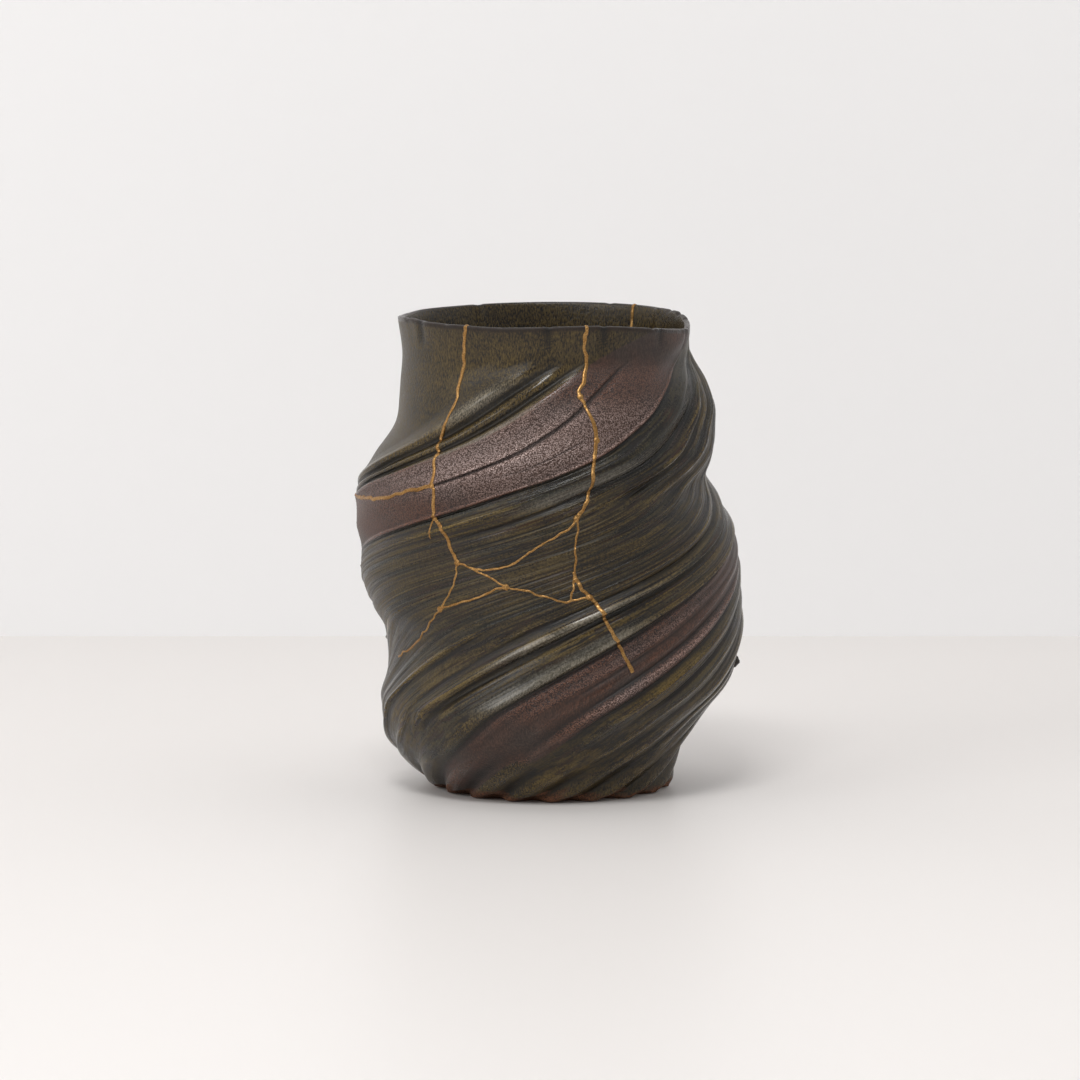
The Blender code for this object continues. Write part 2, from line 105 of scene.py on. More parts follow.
# The fine mesh: columns run along the pleats, so few rows are enough
vaseMesh = {
    "columns": 600,
    "outerRows": 140,
    "lipRows": 5,
    "innerRows": 15,
    "cornerRows": 3,
    "twistCrowding": 0.6,      # outer rows are closer where the pleats turn faster,
    "footCrowding": 2.5,       # over the first levels above the foot
    "footCrowded": 0.06,
    "lipCrowding": 1.5,        # and over the last ones below the lip
    "lipCrowded": 0.05,
    "innerCrowding": 2.2,      # power that draws the inner rows up to the lip
    "traceSteps": 400,
    "spacingLines": 1441,      # lines traced to space the columns evenly
    "cavityReach": 6,          # columns on each side that a hollow or crest is measured against
}

# Carved pleats: line, degrees of slope before and after the crest, height in mm (a groove is
# negative), first and last level, sharpness from 0 to 1, and drift in degrees per whole height
pleats = [
    (112, 5, 4, -0.5, 0.86, 0.97, 0.1, 20), (119.0, 3, 3, -0.6, 0.89, 0.99, 0.3, 0),
    (123.6, 8, 3.2, 2.2, 0.62, 0.94, 0.1, 0), (128, 2.4, 2.6, -1.4, 0.60, 0.95, 0.5, 0),
    (131.4, 2.6, 2.2, 0.7, 0.60, 0.92, 0.2, 0), (134.6, 2.2, 2.2, -1.3, 0.58, 0.95, 0.6, 0),
    (138, 2.6, 9, 1.3, 0.58, 0.92, 0.4, 0), (165, 26, 20, 1.4, 0.48, 1.04, 0, 0),
    (155, 1.5, 1.9, -1.1, 0.62, 0.95, 0.45, -40), (186.5, 3, 1.2, 0.5, 0.50, 0.95, 0.4, 0),
    (188.8, 1.6, 2.8, -1.0, 0.48, 0.95, 0.6, 0), (201, 10, 12, 1.7, 0.50, 0.97, 0, 0),
    (216, 5, 6, -1.2, 0.52, 0.86, 0.2, 0), (225.5, 6, 7, 1.8, 0.62, 0.98, 0.25, -47),
    (238, 7, 7, -1.3, 0.60, 0.97, 0.1, 0), (244, 2, 2, -0.4, 0.70, 0.79, 0.5, 0),
    (254, 7, 7, 1.7, 0.60, 0.98, 0.2, 0), (271, 6, 8, 1.1, 0.50, 0.86, 0.3, 60),
    (282.5, 4, 4, 0.5, 0.48, 0.70, 0.2, 0), (292, 4, 6, 0.9, 0.42, 0.75, 0.3, 0),
    (304, 4, 4, 0.7, 0.42, 0.75, 0.3, 0), (311, 3.5, 3.5, -1.0, 0.28, 0.70, 0.3, 0),
    (318.5, 6.5, 2.6, 1.9, 0.14, 0.70, 0.35, 0), (322, 1.6, 4, -1.2, 0.14, 0.70, 0.4, 0),
    (330, 6, 5, 0.7, 0.14, 0.66, 0, 0), (337.6, 8.5, 2.2, 1.8, 0.08, 0.62, 0.3, 0),
    (340.6, 1.4, 4, -1.0, 0.08, 0.62, 0.4, 0), (346, 4, 4, -0.5, 0.08, 0.62, 0, 0),
    (351, 0.9, 0.9, 0.45, 0.25, 0.38, 0.6, 0), (352.6, 1.2, 1.5, -0.3, 0.20, 0.50, 0.5, 0),
    (356.5, 4, 4, 0.5, 0.10, 0.60, 0, 0), (361, 1.6, 1.4, -0.6, 0.20, 0.44, 0.5, 0),
    (5, 3.6, 3.6, 1.1, 0.08, 0.50, 0, 0), (9, 1.2, 1.6, -0.6, 0.12, 0.46, 0.5, 0),
    (15, 4.5, 4, 1.1, 0.08, 0.56, 0.1, 0), (20.8, 1.6, 2, -1.1, 0.14, 0.50, 0.5, 0),
    (27, 4.5, 5, 1.1, 0.06, 0.54, 0.1, 0), (33, 2, 2, -0.7, 0.06, 0.50, 0.4, 0),
    (39, 4.5, 5, 1.2, 0.06, 0.60, 0.1, 0), (46, 3, 3, -0.9, 0.06, 0.60, 0.3, 0),
    (54, 4, 4, -0.9, 0.06, 0.62, 0.2, 0), (60, 4, 4, 0.8, 0.06, 0.66, 0.1, 0),
    (68, 5, 5, 1.3, 0.06, 0.74, 0.1, 0), (80, 6, 6, -1.1, 0.06, 0.80, 0.1, 0),
    (95, 9, 9, 0.9, 0.10, 0.72, 0, 0), (109, 6, 6, -0.9, 0.06, 0.66, 0.1, 0),
    (122, 6, 5, 0.8, 0.04, 0.56, 0.1, 0), (152, 8, 8, 0.9, 0.04, 0.46, 0, 0),
    (164, 3, 3, -0.7, 0.06, 0.46, 0.3, 0), (176, 7, 7, -0.8, 0.06, 0.46, 0.1, 0),
    (190, 5, 5, 0.6, 0.06, 0.46, 0.1, 0), (208, 8, 8, 1.0, 0.06, 0.48, 0, 0),
    (232, 8, 8, -0.9, 0.06, 0.48, 0.1, 0), (258, 8, 8, 0.9, 0.06, 0.46, 0, 0),
    (283, 6, 6, -1.1, 0.04, 0.36, 0.1, 0), (297.5, 6, 2, 1.4, 0.04, 0.40, 0.4, 0),
    (312.5, 6, 2, 1.1, 0.04, 0.22, 0.4, 0),
]
pleatFade = 0.08

# Combed lines: first and last line of the zone, how many, depth in mm, width in degrees, levels
combing = [
    (190, 316, 44, 0.42, 1.7, 0.30, 0.70), (205, 316, 26, 0.34, 1.5, 0.08, 0.42),
    (218, 300, 12, 0.36, 1.8, 0.60, 0.92), (324, 336, 4, 0.2, 1.2, 0.12, 0.60),
    (372, 450, 26, 0.32, 1.6, 0.06, 0.62), (140, 186, 5, 0.12, 1.4, 0.50, 0.95),
    (90, 200, 34, 0.34, 1.7, 0.06, 0.58),
]

# Thin marks on the wall: bends as azimuth and level, width and height in mm
marks = [
    ([(256, 0.697), (260.8, 0.704), (263.6, 0.708), (265, 0.715), (270, 0.731), (279, 0.762)],
     0.75, -0.5),
    ([(261, 0.268), (262.5, 0.283), (265, 0.281), (267.5, 0.272), (270, 0.268)], 0.9, 0.5),
    ([(231, 0.349), (233, 0.352), (235, 0.346)], 0.9, -0.4),
    ([(252, 0.362), (255, 0.372), (258, 0.372), (260, 0.379)], 0.9, 0.5),
    ([(224, 0.193), (225, 0.205)], 0.9, -0.5),
    ([(274, 0.133), (276, 0.141)], 0.9, -0.5),
]

# Small crumbs of clay on the wall: azimuth, level, radius and height in mm
crumbs = [
    (184, 0.470, 0.8, 0.7), (183, 0.318, 1.0, 0.9),
    (213, 0.247, 0.7, 0.4), (289, 0.121, 0.8, 0.6), (68, 0.44, 1.1, 0.9), (121, 0.31, 0.9, 0.7),
]

# The largest crumb, a lump sunk into the wall at the right outline, in mm. Uneven is a share
lump = {"azimuth": 358.5, "height": 50.3, "across": 3.0, "upright": 2.7, "sunk": 0.9, "uneven": 0.08}

# Nicks in the lip: azimuth, width in degrees, depth in mm
lipNicks = [(17, 3, 0.9), (26, 2.5, 0.5), (7, 2, 0.4), (350, 3, 0.5), (201, 2.6, 0.5), (192, 2, 0.35),
            (272, 1.6, 0.35), (294, 2, 0.4), (229, 2.5, 0.3), (318, 2, 0.4), (118, 3, 0.3),
            (62, 2.4, 0.3)]

# Dimples just under the lip: azimuth, width in degrees, depth in mm
lipDimples = [(271.5, 2.2, 0.7), (294, 2.6, 0.8), (213, 3.0, 0.8), (322, 2.4, 0.6), (343, 2.5, 0.7),
              (118, 3.0, 0.6), (35, 2.6, 0.6)]
dimpleStart = 0.93             # the level from which they deepen
dimpleFade = 0.05
crumbSkirt = 1.4               # a crumb melts into the wall out to this many of its radii


def smoothThrough(points, column, levels):
    knots = np.array([point[0] for point in points], dtype=float)
    values = np.array([point[column] for point in points], dtype=float)
    slopes = np.gradient(values, knots)
    levels = np.clip(levels, knots[0], knots[-1])
    index = np.clip(np.searchsorted(knots, levels) - 1, 0, len(knots) - 2)
    span = knots[index + 1] - knots[index]
    part = (levels - knots[index]) / span
    start = values[index] * (1 + 2 * part) * (1 - part) ** 2
    end = values[index + 1] * part ** 2 * (3 - 2 * part)
    leave = slopes[index] * span * part * (1 - part) ** 2
    arrive = slopes[index + 1] * span * part ** 2 * (part - 1)
    return start + end + leave + arrive


def ease(value):
    value = np.clip(value, 0, 1)
    return value * value * (3 - 2 * value)


def aroundFrom(azimuth, centre):
    return (azimuth - centre + 180) % 360 - 180   # degrees from the centre, -180 to 180


def bodyRadius(levels):
    form = vaseForm
    grow = form["bellyRadius"] - form["footRadius"]
    lower = form["footRadius"] + grow * smoothThrough(form["lowerOutline"], 1, levels)
    grow = form["bellyRadius"] - form["mouthRadius"]
    upper = form["mouthRadius"] + grow * smoothThrough(form["upperOutline"], 1, levels)
    return np.where(levels < form["bellyLevel"], lower, upper)


def twistRate(azimuth, level):
    rows = vaseForm["twist"]
    knots = [row[0] for row in rows]
    turn, right, back = (np.interp(level, knots, [row[place] for row in rows]) for place in (1, 2, 3))
    return turn + right * np.cos(np.radians(azimuth)) + back * np.sin(np.radians(azimuth))


def traceLines(lines):
    steps = vaseMesh["traceSteps"]
    levels = np.linspace(0, 1, steps + 1)
    step = 1 / steps
    table = np.empty((steps + 1, len(lines)))
    middle = round(vaseForm["pleatLevel"] * steps)
    table[middle] = lines
    for index in range(middle + 1, steps + 1):
        here = table[index - 1]
        half = here + step / 2 * twistRate(here, levels[index - 1])
        table[index] = here + step * twistRate(half, levels[index - 1] + step / 2)
    for index in range(middle - 1, -1, -1):
        here = table[index + 1]
        half = here - step / 2 * twistRate(here, levels[index + 1])
        table[index] = here - step * twistRate(half, levels[index + 1] - step / 2)
    return levels, table


def crestShape(distance, before, after, sharpness):
    rise = np.clip(1 - np.abs(distance) / np.where(distance < 0, before, after), 0, 1)
    return (1 - sharpness) * ease(rise) + sharpness * rise ** 2


def levelWindow(level, low, high, fade):
    return ease((level - low) / fade) * ease((high - level) / fade)


def combedLines():
    draw = np.random.default_rng(11)
    lines = []
    for first, last, count, depth, width, low, high in combing:
        for line in np.linspace(first, last, count, endpoint=False):
            line += draw.uniform(-0.45, 0.45) * (last - first) / count
            middle = draw.uniform(low, high)
            reach = draw.uniform(0.25, 0.75) * (high - low)
            scale = draw.uniform(0.35, 1.2)
            wide = width * draw.uniform(0.6, 1.5)
            lines.append((line % 360, wide, wide * draw.uniform(0.7, 1.6), -depth * scale,
                          max(low, middle - reach), min(high, middle + reach), 0.4,
                          draw.uniform(-8, 8)))
    return lines


def pleatRelief(lines, footAzimuth, level):
    total = np.zeros(len(lines))
    for line, before, after, height, low, high, sharpness, drift in allPleats:
        window = levelWindow(level, low, high, pleatFade)
        if window > 0:
            centre = line + drift * (level - (low + high) / 2)
            crest = crestShape(aroundFrom(lines, centre), before, after, sharpness)
            total += height * mm * window * crest
    ribs = np.cos(np.radians(vaseForm["footRibs"] * (footAzimuth - vaseForm["footRibAzimuth"])))
    fade = 1 - ease(level / vaseForm["footRibReach"])
    scallop = ribs - vaseForm["footRibHollow"] * (1 - ribs) ** 2 / 4
    return total + vaseForm["footRibHeight"] * fade * scallop


def wallMarks(azimuth, level, radius):
    total = np.zeros(len(azimuth))
    for bends, width, height in marks:
        for (startAzimuth, startLevel), (endAzimuth, endLevel) in zip(bends, bends[1:]):
            across = np.radians(aroundFrom(azimuth, startAzimuth)) * radius
            up = (level - startLevel) * vaseForm["height"]
            runAcross = np.radians(endAzimuth - startAzimuth) * radius
            runUp = (endLevel - startLevel) * vaseForm["height"]
            along = np.clip((across * runAcross + up * runUp) / (runAcross ** 2 + runUp ** 2), 0, 1)
            gap = np.hypot(across - along * runAcross, up - along * runUp)
            mark = height * mm * ease(1 - gap / (width * mm))
            total = np.where(np.abs(mark) > np.abs(total), mark, total)
    for centre, height, wide, tall in crumbs:
        across = np.radians(aroundFrom(azimuth, centre)) * radius
        up = (level - height) * vaseForm["height"]
        total += tall * mm * ease(1 - np.hypot(across, up) / (wide * mm * crumbSkirt))
    fade = ease((level - dimpleStart) / dimpleFade)
    for centre, wide, deep in lipDimples:
        total -= deep * mm * fade * ease(1 - np.abs(aroundFrom(azimuth, centre)) / wide)
    return total


def lipOffset(azimuth):
    knots, heights = zip(*vaseForm["lipHeights"])
    total = np.interp(np.asarray(azimuth) % 360, knots, heights)
    for centre, wide, deep in lipNicks:
        total = total - deep * ease(1 - np.abs(aroundFrom(azimuth, centre)) / wide)
    return total * mm


def placeRing(azimuth, radius, level):
    right, back = (smoothThrough(vaseForm["sway"], column, level) * mm for column in (1, 2))
    follow = ease((level - 1 + vaseForm["lipReach"]) / vaseForm["lipReach"])
    x = right + radius * np.cos(np.radians(azimuth))
    y = back + radius * vaseForm["depth"] * np.sin(np.radians(azimuth))
    z = vaseForm["height"] * level + follow * lipOffset(azimuth) + 0 * x
    return np.stack([x, y, z], axis=1)


def buildRings():
    form = vaseForm
    shape = vaseMesh
    start = np.linspace(0, 360, shape["spacingLines"])
    middles = traceLines(start)[1].mean(axis=0)   # so the columns are even over the whole height
    even = middles[0] + 360 * np.arange(shape["columns"]) / shape["columns"]
    lines = np.interp(even, middles, start)
    levels, table = traceLines(lines)
    foot = table[0]
    lip = table[-1]
    rings = []

    def addRing(points, level, relief, inside):
        untwisted = np.stack([np.cos(np.radians(lines)), np.sin(np.radians(lines)), 0 * lines], axis=1)
        untwisted *= bodyRadius(level)
        untwisted[:, 2] = level * form["height"]
        rings.append((points, untwisted, relief, inside, level))

    footRelief = pleatRelief(lines, foot, 0)
    soleRadius = bodyRadius(0) + footRelief
    ribs = np.cos(np.radians(form["footRibs"] * (foot - form["footRibAzimuth"])))
    notch = form["footNotch"] * ease(0.5 - 0.5 * ribs)
    addRing(placeRing(foot, 0 * foot, 0), 0, 0 * foot, 0)
    addRing(placeRing(foot, soleRadius - form["footBevel"] - form["soleEdge"], 0), 0, 0 * foot, 0)
    addRing(placeRing(foot, soleRadius - form["footBevel"], 0), 0, 0 * foot, 0)
    turn = np.interp(levels, [row[0] for row in form["twist"]], [row[1] for row in form["twist"]])
    atFoot = ease((shape["footCrowded"] - levels) / shape["footCrowded"])
    atLip = ease((levels - (1 - shape["lipCrowded"])) / shape["lipCrowded"])
    crowd = np.cumsum(1 + shape["twistCrowding"] * turn / turn.mean()
                      + shape["footCrowding"] * atFoot + shape["lipCrowding"] * atLip)
    crowd = (crowd - crowd[0]) / (crowd[-1] - crowd[0])
    for level in np.interp(np.linspace(0, 1, shape["outerRows"]), crowd, levels):
        azimuth = np.array([np.interp(level, levels, column) for column in table.T])
        relief = pleatRelief(lines, foot, level)
        radius = bodyRadius(level)
        relief = relief + wallMarks(azimuth, level, radius)
        points = placeRing(azimuth, radius + relief, level)
        nearFoot = 1 - ease(level * form["height"] / form["footBevel"])
        points[:, 2] += nearFoot * (form["footLift"] + notch)
        points[:, :2] -= points[:, :2] * (nearFoot * form["footTuck"])
        addRing(points, level, relief, 0)
    lipRelief = relief
    lipRadius = bodyRadius(1) + lipRelief
    for index in range(1, shape["lipRows"] + 1):
        angle = math.pi * index / (shape["lipRows"] + 1)
        inset = form["lipWidth"] / 2 * (1 - math.cos(angle))
        points = placeRing(lip, lipRadius - inset, 1)
        points[:, 2] += form["lipRound"] * math.sin(angle)
        addRing(points, 1, lipRelief, 0.5)
    lowest = (form["floor"] + form["floorCorner"]) / form["height"]
    innerParts = np.linspace(0, 1, shape["innerRows"]) ** shape["innerCrowding"]
    for level in 1 - (1 - lowest) * innerParts:
        thicken = ease((1 - level) / form["lipTaper"])
        wall = form["lipWidth"] + (form["wall"] - form["lipWidth"]) * thicken
        wall += form["lipRoll"] * ease(1 - abs(level - 0.985) / 0.02)
        follow = lipRelief * ease((level - 0.85) / 0.15)
        addRing(placeRing(lip, bodyRadius(level) + follow - wall, level), level, 0 * lip, 1)
    for index in range(1, shape["cornerRows"] + 1):
        angle = math.pi / 2 * index / shape["cornerRows"]
        level = (form["floor"] + form["floorCorner"] * (1 - math.sin(angle))) / form["height"]
        radius = bodyRadius(level) - form["wall"] - form["floorCorner"] * (1 - math.cos(angle))
        addRing(placeRing(lip, radius, level), level, 0 * lip, 1)
    addRing(placeRing(lip, 0 * lip, form["floor"] / form["height"]), form["floor"] / form["height"],
            0 * lip, 1)
    return lines, rings


# Zones of the glaze: first and last line, softness in degrees, first and last level, strength.
# Red-brown iron, blue-black ink and olive ash glaze
ironZones = [(137.5, 187.8, 1.2, 0.40, 1.05, 1.0), (340.2, 351.4, 0.8, -0.1, 0.74, 0.9),
             (351.4, 361.4, 0.8, -0.1, 0.72, 1.0), (361.4, 368.6, 0.8, 0.06, 0.56, 0.85),
             (150, 160, 4, 0.0, 0.45, 0.5), (222, 228, 3, 0.05, 0.40, 0.4)]
inkZones = [(190, 222, 5, 0.60, 0.97, 1.0), (258, 269, 4, 0.52, 0.68, 0.7),
            (331, 338, 2, 0.18, 0.36, 0.8), (327, 342, 3, 0.06, 0.18, 0.7),
            (228, 236, 4, 0.62, 0.78, 0.6), (383, 392, 4, 0.16, 0.32, 0.5),
            (60, 90, 8, 0.20, 0.60, 0.4)]
# The olive zone on lines 199 to 214 brightens the glossy fold under the iron band: partly its olive-gold
# glaze, partly a painted sheen
oliveZones = [(189, 197, 3, 0.50, 0.86, 0.8), (199, 214, 4, 0.54, 0.74, 0.9),
              (325, 336, 3, 0.34, 0.54, 0.9), (370, 379, 2, 0.16, 0.40, 0.9),
              (85, 122, 6, 0.70, 1.02, 0.5), (300, 318, 4, 0.10, 0.34, 0.4),
              (366, 400, 5, 0.0, 0.14, 0.4)]

# Where the iron glaze is dry and grainy, frosted with pale grains that are partly a painted sheen, or
# rusty, where crests are pale, partly a paler glaze and partly a painted highlight, and where lines are
# combed
grainyZones = [(139, 187, 5, 0.56, 0.95, 0.9), (340.6, 350.8, 0.8, 0.16, 0.48, 1.0),
               (361.6, 368.6, 0.8, 0.12, 0.46, 1.0)]
# Frost zones: pale grains on the iron band, partly pale crystals of the dry glaze and partly a painted
# sheen where the band faces the key light
frostAndSheenZones = [(139, 187, 6, 0.62, 0.87, 0.75), (141, 180, 10, 0.64, 0.82, 1.0),
              (363, 367.2, 3, 0.17, 0.42, 0.35), (346, 350, 2, 0.26, 0.46, 0.3)]
rustZones = [(137, 188, 5, 0.49, 0.67, 0.8), (150, 187, 8, 0.83, 0.95, 0.7),
             (341, 351, 3, 0.16, 0.40, 0.3)]
# Pale zones: grey-green crests, partly a paler glaze and partly a painted highlight where the crests catch
# the light
paleAndHighlightZones = [(316.5, 321.5, 1.8, 0.27, 0.49, 0.75), (332, 339.5, 3, 0.18, 0.42, 0.75),
             (203, 212, 5, 0.60, 0.75, 0.85), (137, 139, 1, 0.69, 0.87, 0.6),
             (121, 126, 3, 0.76, 0.92, 0.6)]
combedZones = [(187, 336, 4, 0.02, 0.92, 1.0), (369, 500, 5, 0.02, 0.70, 0.8),
               (120, 200, 6, 0.02, 0.52, 0.8)]
zoneFade = 0.07                # levels over which a zone fades at its foot and top


def zoneStrength(lines, level, zones):
    total = np.zeros(len(lines))
    for first, last, soft, low, high, strength in zones:
        middle = (first + last) / 2
        inside = ease(((last - first) / 2 + soft / 2 - np.abs(aroundFrom(lines, middle))) / soft)
        total = np.maximum(total, strength * inside * levelWindow(level, low, high, zoneFade))
    return total


def outward(azimuth):
    return Vector((math.cos(math.radians(azimuth)), math.sin(math.radians(azimuth)), 0))


def outsidePoint(wall, azimuth, height):
    reach = outward(azimuth) * 2 * vaseForm["bellyRadius"]
    return wall.ray_cast(reach + Vector((0, 0, height)), -reach.normalized())[0]


def sortParts(mesh):
    # spin leaves edges and faces in another order each run, and the seams feel it
    def spot(part):
        ends = [point.index for point in part.verts]
        return min(ends) * len(mesh.verts) + max(ends)

    mesh.verts.sort()
    mesh.edges.sort(key=spot)
    mesh.faces.sort(key=spot)
    for parts in (mesh.verts, mesh.edges, mesh.faces):
        parts.index_update()


def spinVase(lines, rings):
    columns = vaseMesh["columns"]
    mesh = bmesh.new()
    ringNumber = mesh.verts.layers.int.new("ring")
    profile = []
    for number in range(len(rings)):
        point = mesh.verts.new((1 + number * mm, 0, number * 0.01))
        point[ringNumber] = number
        profile.append(point)
    edges = [mesh.edges.new(pair) for pair in zip(profile, profile[1:])]
    bmesh.ops.spin(mesh, geom=profile + edges, axis=(0, 0, 1), cent=(0, 0, 0),
                   angle=2 * math.pi, steps=columns, use_merge=True)
    names = ("untwisted", "cavity", "iron", "ink", "olive", "grainy", "frostAndSheen", "rust", "paleAndHighlight",
             "combed", "rim", "inside")
    layers = {name: mesh.verts.layers.float.new(name) for name in names[1:]}
    layers["untwisted"] = mesh.verts.layers.float_vector.new("untwisted")
    shifts = range(-vaseMesh["cavityReach"], vaseMesh["cavityReach"] + 1)
    for number, (points, untwisted, relief, inside, level) in enumerate(rings):
        around = np.mean([np.roll(relief, shift) for shift in shifts], axis=0)
        outer = 1 if inside < 1 else 0
        masks = [zoneStrength(lines, level, zones) * outer
                 for zones in (ironZones, inkZones, oliveZones, grainyZones, frostAndSheenZones, rustZones,
                               paleAndHighlightZones, combedZones)]
        edge = np.full(columns, max(ease((level - 0.992) / 0.005) * outer, 1 - abs(1 - 2 * inside)))
        rings[number] = (points, untwisted, (relief - around) / mm, *masks, edge,
                         np.full(columns, float(inside)))
    for point in mesh.verts:
        column = round(math.atan2(point.co.y, point.co.x) * columns / (2 * math.pi)) % columns
        ring = rings[point[ringNumber]]
        point.co = ring[0][column]
        point[layers["untwisted"]] = ring[1][column]
        for name, values in zip(names[1:], ring[2:]):
            point[layers[name]] = values[column]
        point.index = point[ringNumber] * columns + column
    sortParts(mesh)
    bmesh.ops.remove_doubles(mesh, verts=mesh.verts, dist=0.001 * mm)
    stuck = outsidePoint(BVHTree.FromBMesh(mesh), lump["azimuth"], lump["height"] * mm)
    across, upright = lump["across"] * mm, lump["upright"] * mm
    points = bmesh.ops.create_icosphere(mesh, subdivisions=3, radius=1)["verts"]
    bmesh.ops.scale(mesh, vec=(across, across, upright), verts=points)
    draw = np.random.default_rng(8)
    for point in points:
        wave = math.sin(2.2 * point.co.z / mm + point.co.x / mm)
        point.co *= draw.uniform(0.97, 1.03) * (1 + lump["uneven"] * wave)
        point[layers["rim"]] = 1
    bmesh.ops.translate(mesh, verts=points, vec=stuck - outward(lump["azimuth"]) * lump["sunk"] * mm)
    bmesh.ops.recalc_face_normals(mesh, faces=mesh.faces)
    for face in mesh.faces:
        face.smooth = True
    return mesh


def addPiece(name, mesh, material, slotName, *nodes):
    data = bpy.data.meshes.new(name)
    mesh.to_mesh(data)
    mesh.free()
    data.materials.append(material)
    piece = bpy.data.objects.new(name, data)
    bpy.context.scene.collection.objects.link(piece)
    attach(piece, "root")
    if nodes:
        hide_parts(*nodes)
    return piece


def hexColour(code):
    parts = [int(code[place:place + 2], 16) / 255 for place in (1, 3, 5)]
    linear = [part / 12.92 if part <= 0.04045 else ((part + 0.055) / 1.055) ** 2.4 for part in parts]
    return (*linear, 1)


def addNode(tree, kind, values=None, links=None, **settings):
    node = tree.nodes.new("ShaderNode" + kind)
    for name, value in settings.items():
        setattr(node, name, value)
    for name, value in (values or {}).items():
        node.inputs[name].default_value = value
    for name, socket in (links or {}).items():
        tree.links.new(socket, node.inputs[name])
    return node


def startMaterial(name, **plain):
    material = bpy.data.materials.new(name)
    material.use_nodes = True
    shader = material.node_tree.nodes["Principled BSDF"]
    for socket, value in plain.items():
        shader.inputs[socket.replace("_", " ")].default_value = value
    return material, material.node_tree, shader


def rampNode(tree, factor, stops):
    node = addNode(tree, "ValToRGB", links={"Fac": factor})
    ramp = node.color_ramp
    while len(ramp.elements) < len(stops):
        ramp.elements.new(0.5)
    for element, (place, colour) in zip(ramp.elements, stops):
        element.position = place
        element.color = hexColour(colour) if isinstance(colour, str) else (colour, colour, colour, 1)
    return node.outputs["Color"]


def mixColours(tree, factor, under, over, blend="MIX"):
    node = addNode(tree, "Mix", data_type="RGBA", blend_type=blend)
    for place, value in ((0, factor), (6, under), (7, over)):
        if isinstance(value, (int, float, tuple)):
            node.inputs[place].default_value = value
        else:
            tree.links.new(value, node.inputs[place])
    return node.outputs[2]


def mathNode(tree, operation, first, second, clamp=False):
    node = addNode(tree, "Math", operation=operation, use_clamp=clamp)
    for place, value in enumerate((first, second)):
        if isinstance(value, (int, float)):
            node.inputs[place].default_value = value
        else:
            tree.links.new(value, node.inputs[place])
    return node.outputs[0]


glazeLook = {
    "fur": 0.5,            # mm across a speck of the glaze on the neck, which run down the wall
    "weave": 0.8,          # mm across a speck on the pleats
    "scratch": 1.4,        # mm round the wall between the thinnest dark lines
    "line": 2.1,           # mm round the wall between combed lines, which climb at a third of it
    "band": 8,             # mm round the wall between runs of ink or rust
    "grain": 0.55,         # mm between the grains of the dry iron glaze
    "patch": 18,           # mm between light and dark clouds
    "blush": 24,           # mm between redder and browner parts of the iron glaze
    "clayWander": 14,      # mm that the glaze's lower edge wanders up and down
    "relief": 0.4,         # mm of relief that the bump stands for
}


def noiseNode(tree, vector, size, detail=2, roughness=0.5, stretch=None):
    if stretch is not None:
        mapping = addNode(tree, "Mapping", {"Scale": (1, 1, stretch)}, {"Vector": vector})
        vector = mapping.outputs["Vector"]
    values = {"Scale": 1 / (size * mm), "Detail": detail, "Roughness": roughness}
    return addNode(tree, "TexNoise", values, {"Vector": vector}).outputs["Fac"]


